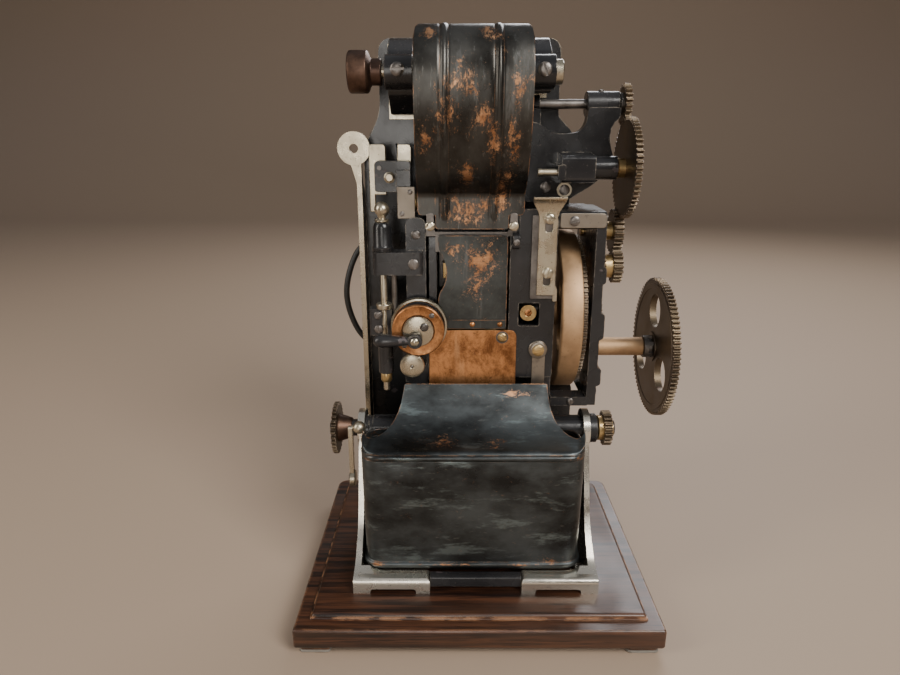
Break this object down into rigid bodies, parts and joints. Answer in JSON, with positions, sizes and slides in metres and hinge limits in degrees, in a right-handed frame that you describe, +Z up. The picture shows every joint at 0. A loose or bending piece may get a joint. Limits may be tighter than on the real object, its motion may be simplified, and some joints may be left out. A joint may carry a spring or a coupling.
{
  "type": "geared label embosser",
  "caption": "Antique table-top label embosser: black enamelled frame with outer gear train, hinged hood, dial and receiving box on a wooden plinth.",
  "frame": {"origin": "middle of the footprint of the whole model, on the surface that the plinth feet stand on", "axes": "+Z up, the front of the machine faces -Y, the gear train is on the +X side"},
  "size_m": [0.2784, 0.2094, 0.4085],
  "materials": {
    "wood": "gloss varnish over dark streaked hardwood",
    "felt": "pressed felt pads",
    "nickel": "old warm nickel plate, softly polished",
    "enamel": "black japanned enamel with chips",
    "worn_paint": "black paint worn through to copper",
    "steel": "dark oiled steel",
    "bronze": "dull tan bronze",
    "paper": "aged label stock",
    "copper": "mottled bare copper",
    "brass": "aged brass",
    "rubber": "black rubber",
    "gear_steel": "brown oiled gear steel with bright tooth tips"
  },
  "bodies": {
    "root": {"plinth_board": "wood", "plinth_panel": "wood", "plinth_foot_front_left": "felt", "plinth_foot_front_right": "felt", "plinth_foot_rear_left": "felt", "plinth_foot_rear_right": "felt", "foot_casting_left": "nickel", "foot_casting_right": "nickel", "base_tie_bar": "enamel", "feed_tube": "enamel", "back_plate": "enamel", "side_bar": "nickel", "spool_bearing_left": "enamel", "spool_bearing_right": "enamel", "hood_hinge_plate": "steel", "gate_plate": "worn_paint", "copper_apron": "copper", "left_cheek": "enamel", "embossing_platen": "steel", "guide_column": "enamel", "upper_arm": "enamel", "gear_bracket": "enamel", "plunger_bracket": "enamel", "plunger_barrel": "enamel", "pin_block": "enamel", "roller_stack": "brass", "dial_disc": "enamel", "lead_loop": "rubber", "lead_terminals": "enamel"},
    "flywheel_train": {"flywheel": "bronze", "ring_gear": "gear_steel", "flywheel_shaft": "steel"},
    "main_drive": {"main_gear": "gear_steel", "main_shaft": "bronze"},
    "lower_idler_gear": {"lower_idler": "gear_steel"},
    "upper_idler_gear": {"upper_idler": "gear_steel"},
    "upper_gear_shaft": {"upper_gear": "gear_steel"},
    "top_pinion_shaft": {"top_pinion": "gear_steel"},
    "spool": {"spool_shaft": "steel", "spool_knob": "bronze", "label_roll": "paper"},
    "feed_roll": {"feed_roller": "brass"},
    "pressure_roll": {"pressure_roller": "rubber"},
    "lower_shaft_set": {"lower_shaft": "steel", "lower_pinion": "brass", "ratchet_wheel": "gear_steel"},
    "dial": {"copper_ring": "copper", "dial_hub": "nickel", "dial_crank": "steel"},
    "hood_cover": {"hood": "worn_paint"},
    "plunger": {"plunger_knob": "nickel", "plunger_rod": "nickel"},
    "lifter": {"lift_bar": "nickel"},
    "rocker": {"rocker_arm": "steel"},
    "slide": {"slide_plate": "nickel"},
    "button": {"release_button": "nickel"},
    "detent": {"detent_lever": "nickel"},
    "box": {"receiving_box": "worn_paint", "chute_cover": "worn_paint"},
    "die": {"embossing_die": "brass"}
  },
  "joints": [
    {"name": "flywheel_turn", "type": "hinge", "parent": "root", "child": "flywheel_train", "pos_m": [0.05525, 0.04275, 0.2082], "axis": [1, 0, 0], "continuous": true},
    {"name": "main_turn", "type": "hinge", "parent": "root", "child": "main_drive", "pos_m": [0.09625, 0.04275, 0.1757], "axis": [1, 0, 0], "continuous": true},
    {"name": "lower_idler_turn", "type": "hinge", "parent": "root", "child": "lower_idler_gear", "pos_m": [0.08625, 0.03229, 0.24421], "axis": [1, 0, 0], "continuous": true},
    {"name": "upper_idler_turn", "type": "hinge", "parent": "root", "child": "upper_idler_gear", "pos_m": [0.08625, 0.04169, 0.27005], "axis": [1, 0, 0], "continuous": true},
    {"name": "upper_gear_turn", "type": "hinge", "parent": "root", "child": "upper_gear_shaft", "pos_m": [0.08625, 0.02521, 0.31792], "axis": [1, 0, 0], "continuous": true},
    {"name": "top_pinion_turn", "type": "hinge", "parent": "root", "child": "top_pinion_shaft", "pos_m": [0.08625, 0.04473, 0.36259], "axis": [1, 0, 0], "continuous": true},
    {"name": "spool_turn", "type": "hinge", "parent": "root", "child": "spool", "pos_m": [-0.02375, -0.00075, 0.381], "axis": [1, 0, 0], "continuous": true},
    {"name": "feed_roll_turn", "type": "hinge", "parent": "root", "child": "feed_roll", "pos_m": [-0.01375, 0.01525, 0.196], "axis": [1, 0, 0], "continuous": true},
    {"name": "pressure_roll_turn", "type": "hinge", "parent": "root", "child": "pressure_roll", "pos_m": [-0.01375, 0.01525, 0.177], "axis": [1, 0, 0], "continuous": true},
    {"name": "lower_shaft_turn", "type": "hinge", "parent": "root", "child": "lower_shaft_set", "pos_m": [-0.01375, -0.00275, 0.124], "axis": [1, 0, 0], "continuous": true},
    {"name": "dial_turn", "type": "hinge", "parent": "root", "child": "dial", "pos_m": [-0.05475, -0.02275, 0.2095], "axis": [0, 1, 0], "continuous": true},
    {"name": "hood_open", "type": "hinge", "parent": "root", "child": "hood_cover", "pos_m": [-0.01725, -0.00925, 0.281], "axis": [1, 0, 0], "range_deg": [0, 75]},
    {"name": "plunger_lift", "type": "slide", "parent": "root", "child": "plunger", "axis": [0, 0, 1], "range_m": [0, 0.012], "stiffness_N_per_m": 300},
    {"name": "lift_bar_rise", "type": "slide", "parent": "root", "child": "lifter", "axis": [0, 0, 1], "range_m": [0, 0.006]},
    {"name": "rocker_tilt", "type": "hinge", "parent": "root", "child": "rocker", "pos_m": [0.03625, 0.00525, 0.316], "axis": [1, 0, 0], "range_deg": [-16, 1]},
    {"name": "slide_plate_rise", "type": "slide", "parent": "root", "child": "slide", "axis": [0, 0, 1], "range_m": [-0.0005, 0.0065]},
    {"name": "button_press", "type": "slide", "parent": "root", "child": "button", "axis": [0, 1, 0], "range_m": [0, 0.004], "stiffness_N_per_m": 400},
    {"name": "detent_swing", "type": "hinge", "parent": "root", "child": "detent", "pos_m": [-0.10575, -0.02775, 0.094], "axis": [1, 0, 0], "range_deg": [-8, 6]},
    {"name": "box_withdraw", "type": "slide", "parent": "root", "child": "box", "axis": [0, -1, 0], "range_m": [0, 0.08]},
    {"name": "die_press", "type": "slide", "parent": "root", "child": "die", "axis": [0, 1, 0], "range_m": [-0.004, 0.0008], "stiffness_N_per_m": 200}
  ],
  "couplings": [
    {"joint": "main_turn", "follows": "flywheel_turn", "ratio": -2.25},
    {"joint": "lower_idler_turn", "follows": "flywheel_turn", "ratio": -1.5},
    {"joint": "upper_idler_turn", "follows": "flywheel_turn", "ratio": 1.14},
    {"joint": "upper_gear_turn", "follows": "flywheel_turn", "ratio": -0.50893},
    {"joint": "top_pinion_turn", "follows": "flywheel_turn", "ratio": 1.2955},
    {"joint": "pressure_roll_turn", "follows": "feed_roll_turn", "ratio": -1},
    {"joint": "slide_plate_rise", "follows": "rocker_tilt", "m_per_rad": -0.022}
  ]
}
